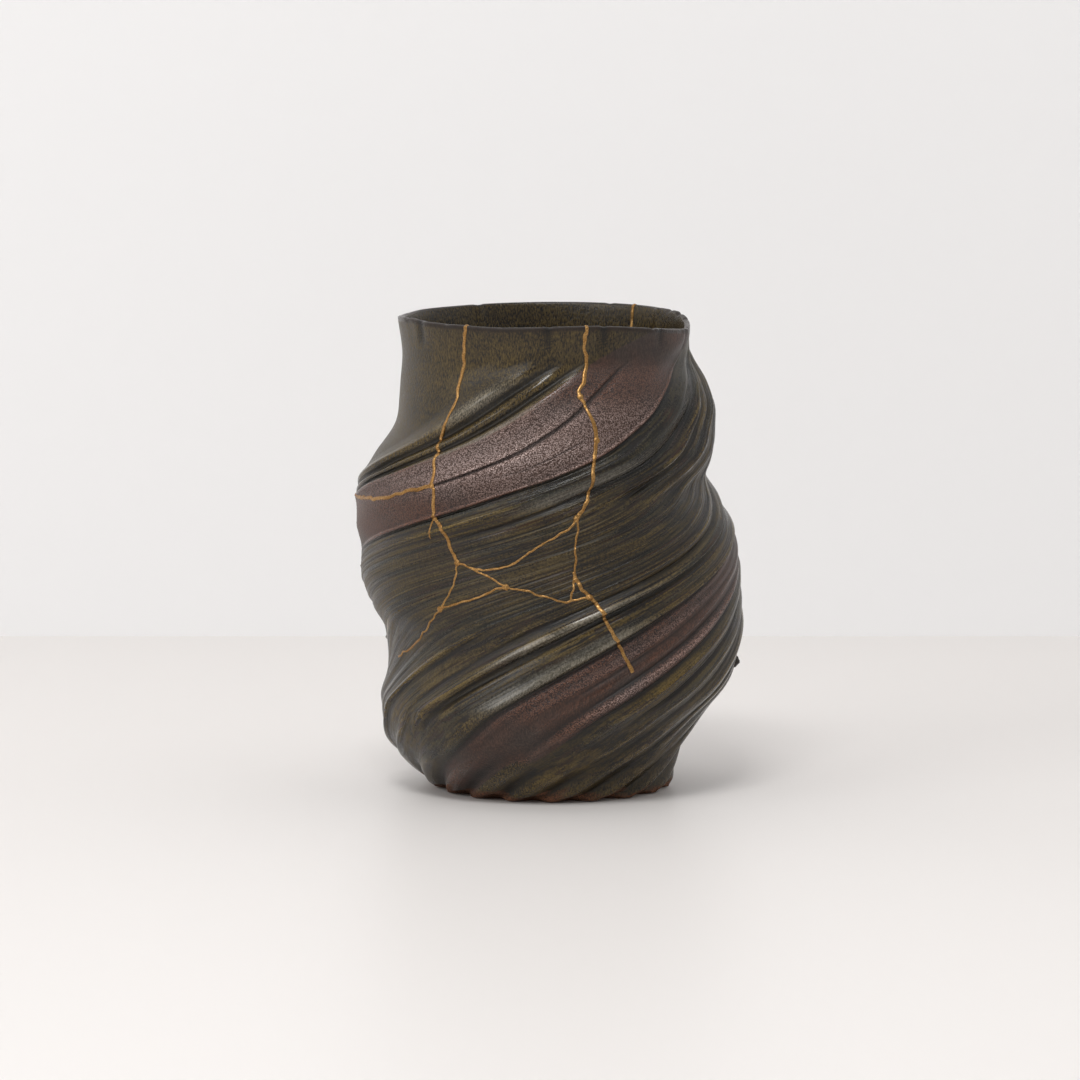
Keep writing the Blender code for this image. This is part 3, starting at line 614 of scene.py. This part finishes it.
def ashGlaze():
    # wood-ash glaze over iron-rich stoneware: olive with fine dark fur, ink-dark where it pooled,
    # dry and grainy red-brown where it lies thin with pale grains partly painted as a sheen on the
    # shoulder band, and pale grey on the sharpest crests, partly a paler glaze and partly a painted
    # highlight, as is the lighter tone on all crests
    material, tree, shader = startMaterial("ashGlazeStoneware", Specular_IOR_Level=0.4)
    place = addNode(tree, "TexCoord").outputs["Object"]

    def read(name, output="Fac"):
        return addNode(tree, "Attribute", attribute_name=name).outputs[output]

    def times(*factors):
        total = factors[0]
        for factor in factors[1:]:
            total = mathNode(tree, "MULTIPLY", total, factor)
        return total

    untwisted = read("untwisted", "Vector")
    cavity, iron, ink, olive, grainy, frostAndSheen, rust, paleAndHighlight, combed, rim, inside = (
        read(name) for name in ("cavity", "iron", "ink", "olive", "grainy", "frostAndSheen", "rust", "paleAndHighlight",
                                "combed", "rim", "inside"))
    look = glazeLook
    fur = noiseNode(tree, place, look["fur"], 2, 0.6, 0.33)
    weave = noiseNode(tree, place, look["weave"], 3, 0.65)
    line = noiseNode(tree, untwisted, look["line"], 2, 0.5, 0.05)
    band = noiseNode(tree, untwisted, look["band"], 3, 0.55, 0.3)
    patch = noiseNode(tree, place, look["patch"], 3)
    cells = addNode(tree, "TexVoronoi", {"Scale": 1 / (look["grain"] * mm)}, {"Vector": place})
    grain = times(mathNode(tree, "SUBTRACT", 1, cells.outputs["Distance"]), 0.4)
    grain = mathNode(tree, "ADD", grain, times(noiseNode(tree, place, look["grain"], 3, 0.7), 0.6))

    streaky = mathNode(tree, "ADD", times(weave, 0.85), times(line, 0.65))
    streaky = mathNode(tree, "SUBTRACT", streaky, 0.25)
    speck = mixColours(tree, combed, fur, streaky)
    shade = mathNode(tree, "ADD", times(speck, 0.8), times(patch, 0.2))
    colour = rampNode(tree, shade, [(0.41, "#100b06"), (0.47, "#2d2414"), (0.54, "#3d3320"),
                                    (0.63, "#4c412b")])
    gilded = rampNode(tree, shade, [(0.40, "#130e05"), (0.47, "#342a13"), (0.55, "#493c1e"),
                                    (0.63, "#5b4d2c")])
    inky = rampNode(tree, shade, [(0.41, "#09090b"), (0.50, "#171817"), (0.60, "#282825")])
    waver = mathNode(tree, "SUBTRACT", band, 0.5)
    gildedAmount = mathNode(tree, "ADD", olive, times(waver, 3.0, combed), True)
    colour = mixColours(tree, gildedAmount, colour, gilded)
    inkRuns = times(rampNode(tree, band, [(0.36, 1.0), (0.47, 0.0)]), combed, 0.85)
    inkHere = mathNode(tree, "ADD", times(ink, 0.8), times(waver, 3.0, ink), True)
    inkAmount = mathNode(tree, "MAXIMUM", inkHere, inkRuns)
    colour = mixColours(tree, inkAmount, colour, inky)
    scratch = noiseNode(tree, untwisted, look["scratch"], 1, 0.5, 0.035)
    scratches = times(rampNode(tree, scratch, [(0.35, 0.9), (0.40, 0.0)]), combed)
    lineAmount = times(rampNode(tree, line, [(0.39, 0.95), (0.46, 0.0)]), combed)
    umber = rampNode(tree, patch, [(0.45, "#140e0b"), (0.6, "#2a1b13")])
    colour = mixColours(tree, lineAmount, colour, umber)
    colour = mixColours(tree, scratches, colour, hexColour("#0e0a08"))
    colour = mixColours(tree, 1.0, colour, (0.98, 0.91, 0.61, 1), "MULTIPLY")

    redness = rampNode(tree, noiseNode(tree, place, look["blush"], 2), [(0.38, 0.0), (0.54, 1.0)])
    satin = mixColours(tree, redness, rampNode(tree, shade, [(0.42, "#291e19"), (0.60, "#3f312a")]),
                       rampNode(tree, shade, [(0.42, "#2d1c14"), (0.60, "#4b3125")]))
    dry = mixColours(tree, redness,
                     rampNode(tree, grain, [(0.41, "#160d0a"), (0.50, "#3b2a23"), (0.62, "#55423a")]),
                     rampNode(tree, grain, [(0.41, "#190c08"), (0.50, "#452c21"), (0.62, "#624334")]))
    # pale frosted grains: partly pale crystals, partly a painted sheen where the shoulder band catches the
    # key light
    frostedAndSheen = rampNode(tree, grain, [(0.39, "#3d2d27"), (0.48, "#66534c"), (0.63, "#ad9b96")])
    dry = mixColours(tree, times(frostAndSheen, 0.9), dry, frostedAndSheen)
    ironColour = mixColours(tree, grainy, satin, dry)
    russet = rampNode(tree, grain, [(0.40, "#2c1710"), (0.60, "#65402f")])
    ironColour = mixColours(tree, times(rust, 0.75), ironColour, russet)
    ragged = times(mathNode(tree, "SUBTRACT", speck, 0.5), 0.8)
    ironEdge = mathNode(tree, "ADD", iron, ragged)
    ironAmount = rampNode(tree, ironEdge, [(0.35, 0.0), (0.60, 1.0)])
    colour = mixColours(tree, ironAmount, colour, ironColour)
    # pale grey-green on the crests: partly a paler glaze, partly a painted highlight
    celadonAndHighlight = rampNode(tree, shade, [(0.40, "#403c32"), (0.62, "#767167")])
    colour = mixColours(tree, times(paleAndHighlight, 0.9), colour, celadonAndHighlight)
    colour = mixColours(tree, times(rim, 0.85), colour, hexColour("#1f140f"))
    # darker in the hollows where the glaze pooled thick; lighter on the crests, up to 1.6 times, a painted
    # highlight
    hollow = mathNode(tree, "ADD", times(cavity, 1.3), 0.5)
    pooledAndCrestHighlight = rampNode(tree, hollow, [(0.0, 0.3), (0.44, 1.0), (0.62, 1.0), (1.0, 1.6)])
    crest = rampNode(tree, hollow, [(0.60, 0.0), (0.85, 1.0)])
    colour = mixColours(tree, 1.0, colour, pooledAndCrestHighlight, "MULTIPLY")

    # bare clay where the glaze stops above the foot, in an uneven line
    height = addNode(tree, "SeparateXYZ", links={"Vector": place}).outputs["Z"]
    edge = mathNode(tree, "ADD", height, times(waver, look["clayWander"] * mm))
    bare = rampNode(tree, times(edge, 100), [(0.22, 1.0), (0.40, 0.0)])
    clay = rampNode(tree, grain, [(0.40, "#3a271b"), (0.62, "#7c5138")])
    colour = mixColours(tree, bare, colour, clay)
    tree.links.new(colour, shader.inputs["Base Color"])

    gloss = rampNode(tree, speck, [(0.38, 0.31), (0.62, 0.48)])
    gloss = mixColours(tree, inkAmount, gloss, (0.24, 0.24, 0.24, 1))
    sheen = mixColours(tree, grainy, (0.46, 0.46, 0.46, 1), (0.33, 0.33, 0.33, 1))
    gloss = mixColours(tree, ironAmount, gloss, sheen)
    smooth = mathNode(tree, "MAXIMUM", crest, paleAndHighlight)
    gloss = mixColours(tree, smooth, gloss, (0.2, 0.2, 0.2, 1))
    gloss = mixColours(tree, rim, gloss, rampNode(tree, patch, [(0.46, 0.62), (0.56, 0.22)]))
    gloss = mixColours(tree, inside, gloss, (0.26, 0.26, 0.26, 1))
    gloss = mixColours(tree, bare, gloss, (0.85, 0.85, 0.85, 1))
    tree.links.new(gloss, shader.inputs["Roughness"])
    tree.links.new(times(frostAndSheen, ironAmount, 0.5), shader.inputs["Metallic"])

    relief = times(speck, 0.45)
    relief = mathNode(tree, "ADD", relief, times(line, combed, 0.8))
    relief = times(relief, mathNode(tree, "SUBTRACT", 1, times(smooth, 0.8)))
    relief = mathNode(tree, "ADD", relief, times(grain, grainy, 1.2))
    bump = addNode(tree, "Bump", {"Strength": 1.0, "Distance": look["relief"] * mm}, {"Height": relief})
    tree.links.new(bump.outputs["Normal"], shader.inputs["Normal"])
    return material


seamLook = {
    "radius": 0.78 * mm,
    "thin": 0.58,          # share of the radius on the hairline seams
    "press": 0.45,         # share of the bead's height left when it is pressed on the wall
    "step": 0.7 * mm,
    "wander": 0.22 * mm,
    "wanderGain": 2.2,     # makes up for what smoothing takes off the wander
    "voxel": 0.2 * mm,
    "insideRun": 22 * mm,
    "backInsideRun": 46 * mm,
    "lipMargin": 1.2 * mm,
    "blob": 1.35 * mm,
}

# Bends of each seam: azimuth and level. One that ends at level 1 rounds the lip
frontSeams = [
    [(231.5, 0.671), (231.5, 0.692), (231, 0.732), (228.5, 0.761), (230.5, 0.784), (232, 0.818),
     (233.5, 0.847), (232.5, 0.863), (233.5, 0.887), (234.5, 0.918), (234.5, 0.955), (236, 1)],
    [(231.5, 0.671), (227, 0.663), (222, 0.655), (215.5, 0.639), (207, 0.629), (193.5, 0.621),
     (181, 0.618), (170, 0.607), (158, 0.604)],
    [(231.5, 0.671), (233, 0.663), (233, 0.642), (232, 0.611), (232.5, 0.600), (235, 0.587),
     (236.5, 0.561), (237.5, 0.539), (239.5, 0.513)],
    [(232, 0.611), (231, 0.587), (230.5, 0.561)],
    [(239.5, 0.513), (244, 0.505), (247.5, 0.495), (254, 0.474), (256, 0.468), (262, 0.461),
     (268.5, 0.450), (275, 0.437), (277, 0.442), (282.5, 0.447)],
    [(244, 0.505), (249, 0.500), (252.5, 0.503), (259, 0.518), (263.5, 0.539), (268.5, 0.561),
     (273, 0.579), (276, 0.589), (278.5, 0.611)],
    [(278.5, 0.611), (280.5, 0.626), (282.5, 0.647), (283.5, 0.679), (284, 0.711), (284.5, 0.739),
     (285.5, 0.768), (284.5, 0.800), (283.5, 0.826), (282, 0.845), (281, 0.855), (280.5, 0.866),
     (282.5, 0.884), (284, 0.908), (284.5, 0.937), (283.5, 0.958), (284.5, 1)],
    [(278.5, 0.611), (279, 0.587), (278, 0.558), (278, 0.526), (277.5, 0.500), (277.5, 0.474),
     (276.5, 0.441)],
    [(277.5, 0.500), (278.5, 0.484), (280, 0.463), (282.5, 0.447), (285, 0.432), (287, 0.411),
     (288.5, 0.389), (289.5, 0.374), (291.5, 0.353), (293.5, 0.326), (294.5, 0.311), (296, 0.289)],
    [(239.5, 0.513), (239, 0.489), (238, 0.466), (236, 0.442), (232.5, 0.413), (227, 0.376),
     (219.5, 0.342), (212, 0.316), (201, 0.289)],
    [(232.5, 0.413), (240.5, 0.432), (247.5, 0.445), (252.5, 0.463), (256, 0.468)],
]
# Which seams are hairlines, and where the gold gathers in a blob
frontThin = (3, 4, 5, 7, 9, 10)
frontBlobs = [(231.5, 0.671), (231, 0.732), (239.5, 0.513), (278.5, 0.611), (285.5, 0.768),
              (282.5, 0.447), (287, 0.411), (232.5, 0.413), (256, 0.468), (281, 0.855)]
backSeams = [
    [(50, 0.784), (53, 0.842), (49, 0.889), (50.5, 0.947), (51.5, 1)],
    [(50, 0.784), (46, 0.737), (47.5, 0.679), (43, 0.626), (45, 0.568)],
    [(50, 0.784), (57, 0.758), (66, 0.747), (74, 0.721)],
]
backThin = (2,)
backBlobs = [(50, 0.784)]


def seamPath(wall, bends, insideRun, draw):
    look = seamLook
    points = []
    for start, end in zip(bends, bends[1:]):
        top = vaseForm["height"] + float(lipOffset(end[0])) - 2 * look["lipMargin"]
        along = vaseForm["bellyRadius"] * math.radians(end[0] - start[0])
        climb = vaseForm["height"] * (end[1] - start[1])
        count = max(1, round(math.hypot(along, climb) / look["step"]))
        for part in np.arange(count) / count:
            azimuth = start[0] + part * (end[0] - start[0])
            height = min(top, vaseForm["height"] * (start[1] + part * (end[1] - start[1])))
            points.append(outsidePoint(wall, azimuth, height))
    azimuth, level = bends[-1]
    if level < 1:
        points.append(outsidePoint(wall, azimuth, vaseForm["height"] * level))
    stray = draw.normal(0, 1, (len(points), 3))
    for turn in range(4):
        stray = (np.roll(stray, 1, axis=0) + stray + np.roll(stray, -1, axis=0)) / 3
    fade = np.minimum(np.arange(len(points)), np.arange(len(points))[::-1]) / 4
    moved = [point + Vector(stir) * look["wander"] * look["wanderGain"] * min(1, end)
             for point, stir, end in zip(points, stray, fade)]
    points = [wall.find_nearest(point)[0] for point in moved]
    if level == 1:
        lip = vaseForm["height"] + float(lipOffset(azimuth))
        outer = outsidePoint(wall, azimuth, lip - look["lipMargin"])
        inner = wall.ray_cast(Vector((0, 0, lip - look["lipMargin"])), outward(azimuth))[0]
        crown = (outer + inner) / 2
        crown.z = lip + vaseForm["lipRound"]
        points += [outer, Vector((outer.x, outer.y, lip)), crown, Vector((inner.x, inner.y, lip))]
        for height in np.arange(lip - look["lipMargin"], lip - insideRun, -look["step"]):
            points.append(wall.ray_cast(Vector((0, 0, height)), outward(azimuth))[0])
    return points


def seamTube(points, radius, draw):
    curve = bpy.data.curves.new("seamTube", "CURVE")
    curve.dimensions = "3D"
    curve.bevel_depth = radius
    curve.bevel_resolution = 3
    curve.use_fill_caps = True
    spline = curve.splines.new("POLY")
    spline.points.add(len(points) - 1)
    swell = draw.uniform(0.75, 1.25, len(points))
    for turn in range(2):
        swell = (np.roll(swell, 1) + swell + np.roll(swell, -1)) / 3
    for knot, point, wide in zip(spline.points, points, swell):
        knot.co = (*point, 1)
        knot.radius = wide
    holder = bpy.data.objects.new("seamTube", curve)
    bpy.context.scene.collection.objects.link(holder)
    depsgraph = bpy.context.evaluated_depsgraph_get()
    data = bpy.data.meshes.new_from_object(holder.evaluated_get(depsgraph))
    bpy.data.objects.remove(holder, do_unlink=True)
    return data


def goldSeam(name, wall, routes, thin, blobs, insideRun, node, seed):
    look = seamLook
    draw = np.random.default_rng(seed)
    beads = bmesh.new()
    for number, bends in enumerate(routes):
        radius = look["radius"] * (look["thin"] if number in thin else 1)
        beads.from_mesh(seamTube(seamPath(wall, bends, insideRun, draw), radius, draw))
    for azimuth, level in blobs:
        drop = bmesh.ops.create_icosphere(beads, subdivisions=2, radius=look["blob"])["verts"]
        centre = outsidePoint(wall, azimuth, vaseForm["height"] * level)
        bmesh.ops.translate(beads, verts=drop, vec=centre)
    bmesh.ops.remove_doubles(beads, verts=beads.verts, dist=0.005 * mm)
    data = bpy.data.meshes.new("beads")
    beads.to_mesh(data)
    beads.free()
    holder = bpy.data.objects.new("beads", data)
    bpy.context.scene.collection.objects.link(holder)
    fuse = holder.modifiers.new("fuse", "REMESH")
    fuse.mode = "VOXEL"
    fuse.voxel_size = look["voxel"]
    depsgraph = bpy.context.evaluated_depsgraph_get()
    fused = bmesh.new()
    fused.from_mesh(holder.evaluated_get(depsgraph).data)
    bpy.data.objects.remove(holder, do_unlink=True)
    for turn in range(3):
        bmesh.ops.smooth_vert(fused, verts=fused.verts, factor=0.5, use_axis_x=True,
                              use_axis_y=True, use_axis_z=True)
    for point in fused.verts:
        foot, normal, _, _ = wall.find_nearest(point.co)
        height = (point.co - foot).dot(normal)
        point.co = foot + normal * (height * look["press"])
    for face in fused.faces:
        face.smooth = True
    bmesh.ops.recalc_face_normals(fused, faces=fused.faces)
    return addPiece(name, fused, goldLacquer, "gold_lacquer", node)


lacquerLook = {
    "dust": 0.5,           # mm between grains of gold powder
    "cloud": 5,            # mm between brighter and duller parts
    "pits": 0.12,          # mm of relief that the bump stands for
}


def goldPowderLacquer():
    # gold powder dusted on raised lacquer: warm satin metal, uneven and finely pitted
    material, tree, shader = startMaterial("goldPowderLacquer", Metallic=1.0)
    place = addNode(tree, "TexCoord").outputs["Object"]
    dust = noiseNode(tree, place, lacquerLook["dust"], 3)
    cloud = noiseNode(tree, place, lacquerLook["cloud"], 2)
    bright = rampNode(tree, dust, [(0.35, "#8c6739"), (0.65, "#ba935f")])
    dull = rampNode(tree, cloud, [(0.4, 0.0), (0.65, 0.55)])
    colour = mixColours(tree, dull, bright, hexColour("#835d33"))
    tree.links.new(colour, shader.inputs["Base Color"])
    tree.links.new(rampNode(tree, dust, [(0.35, 0.48), (0.65, 0.32)]), shader.inputs["Roughness"])
    bump = addNode(tree, "Bump", {"Strength": 0.5, "Distance": lacquerLook["pits"] * mm}, {"Height": dust})
    tree.links.new(bump.outputs["Normal"], shader.inputs["Normal"])
    return material


studio = {
    "reach": 6.0,              # metres across the floor and the wall
    "floor": "#e6e2df",
    "floorRoughness": 0.45,
    "wall": "#f4f3f3",
    "wallRoughness": 0.9,
    "wallBack": 419 * mm,      # behind the middle of the vase
    "keyPlace": (-1.95, -1.45, 1.35),
    "keySize": (1.5, 0.8),
    "keyPower": 14,
    "topPlace": (-0.35, -1.5, 2.3),
    "topSize": (0.9, 0.5),
    "topPower": 28,
    # how bright the room's air is, from in front of the vase round to behind it
    "room": [(0.0, 0.42), (0.2, 0.50), (0.5, 0.80), (1.0, 0.80)],
}

# The photograph's camera: 2.4 m away, 7.15 degrees above level, aimed a little left of the vase
camera = {
    "distance": 2400 * mm,
    "pitch": 7.15,
    "aim": (-3.5 * mm, -4.0 * mm, 98.8 * mm),
    "lens": 200,
    "sensor": 36,
}


def plainSurface(name, colour, roughness):
    # matt paint on the wall, a faintly glossy pale top on the floor
    material, tree, shader = startMaterial(name, Roughness=roughness)
    shader.inputs["Base Color"].default_value = hexColour(colour)
    return material


def oneSidedSurface(name, colour, roughness):
    # the same paint with a clear back, so the wall doesn't hide the vase from behind
    material = plainSurface(name, colour, roughness)
    tree = material.node_tree
    painted = tree.nodes["Principled BSDF"]
    clear = addNode(tree, "BsdfTransparent")
    sides = addNode(tree, "MixShader")
    tree.links.new(addNode(tree, "NewGeometry").outputs["Backfacing"], sides.inputs[0])
    tree.links.new(painted.outputs["BSDF"], sides.inputs[1])
    tree.links.new(clear.outputs["BSDF"], sides.inputs[2])
    tree.links.new(sides.outputs["Shader"], tree.nodes["Material Output"].inputs["Surface"])
    return material


def addStage(name, material, width, depth, place, turn):
    mesh = bmesh.new()
    bmesh.ops.create_grid(mesh, x_segments=1, y_segments=1, size=0.5)
    bmesh.ops.scale(mesh, vec=(width, depth, 1), verts=mesh.verts)
    data = bpy.data.meshes.new(name)
    mesh.to_mesh(data)
    mesh.free()
    data.materials.append(material)
    sheet = bpy.data.objects.new(name, data)
    sheet.location = place
    sheet.rotation_euler = turn
    bpy.context.scene.collection.objects.link(sheet)


def addLight(name, place, size, power):
    data = bpy.data.lights.new(name, "AREA")
    data.shape = "RECTANGLE"
    data.size, data.size_y = size
    data.energy = power
    light = bpy.data.objects.new(name, data)
    light.location = place
    aim = Vector((0, 0, vaseForm["height"] / 2)) - Vector(place)
    light.rotation_euler = aim.to_track_quat("-Z", "Y").to_euler()
    bpy.context.scene.collection.objects.link(light)


def addCamera():
    data = bpy.data.cameras.new("studioCamera")
    data.lens = camera["lens"]
    data.sensor_width = camera["sensor"]
    view = bpy.data.objects.new("studioCamera", data)
    pitch = math.radians(camera["pitch"])
    away = Vector((0, -math.cos(pitch), math.sin(pitch))) * camera["distance"]
    view.location = Vector(camera["aim"]) + away
    view.rotation_euler = (math.pi / 2 - pitch, 0, 0)
    bpy.context.scene.collection.objects.link(view)
    bpy.context.scene.camera = view


print("studio")
scene = bpy.context.scene
scene.view_settings.view_transform = "Standard"
addCamera()
reach = studio["reach"]
floorPaint = plainSurface("paleFloor", studio["floor"], studio["floorRoughness"])
addStage("floor", floorPaint, reach, reach, (0, studio["wallBack"] - reach / 2, 0), (0, 0, 0))
wallPaint = oneSidedSurface("paleWall", studio["wall"], studio["wallRoughness"])
addStage("backWall", wallPaint, reach, reach / 2, (0, studio["wallBack"], reach / 4),
         (math.pi / 2, 0, 0))
addLight("keySoftbox", studio["keyPlace"], studio["keySize"], studio["keyPower"])
addLight("topSoftbox", studio["topPlace"], studio["topSize"], studio["topPower"])
world = bpy.data.worlds.new("studioAir")
world.use_nodes = True
room = world.node_tree
direction = addNode(room, "TexCoord").outputs["Generated"]
behind = addNode(room, "SeparateXYZ", links={"Vector": direction}).outputs["Y"]
backward = mathNode(room, "MULTIPLY", mathNode(room, "ADD", behind, 1), 0.5)
brightness = rampNode(room, backward, studio["room"])
room.links.new(brightness, room.nodes["Background"].inputs["Color"])
scene.world = world

print("vase wall")
allPleats = pleats + combedLines()
lines, rings = buildRings()
vaseMeshData = spinVase(lines, rings)
low, high = (Vector(corner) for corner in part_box("vase_body"))
shift = []                     # what puts the wall in the middle of the CAD body
for axis in range(2):
    sides = [point.co[axis] for point in vaseMeshData.verts]
    shift.append((low[axis] + high[axis]) / 2 - (min(sides) + max(sides)) / 2)
wallTree = BVHTree.FromBMesh(vaseMeshData)
print("shift", shift, "triangles", sum(len(face.verts) - 2 for face in vaseMeshData.faces))

print("gold seams")
goldLacquer = goldPowderLacquer()
seams = [goldSeam("goldSeamFront", wallTree, frontSeams, frontThin, frontBlobs,
                  seamLook["insideRun"], "gold_seam_front", 3),
         goldSeam("goldSeamBack", wallTree, backSeams, backThin, backBlobs,
                  seamLook["backInsideRun"], "gold_seam_back", 5)]
vase = addPiece("vaseBody", vaseMeshData, ashGlaze(), "ash_glaze_stoneware", "vase_body")
for piece in [vase] + seams:
    for point in piece.data.vertices:
        point.co += Vector((shift[0], shift[1], 0))
    print(piece.name, "triangles", sum(len(face.vertices) - 2 for face in piece.data.polygons))
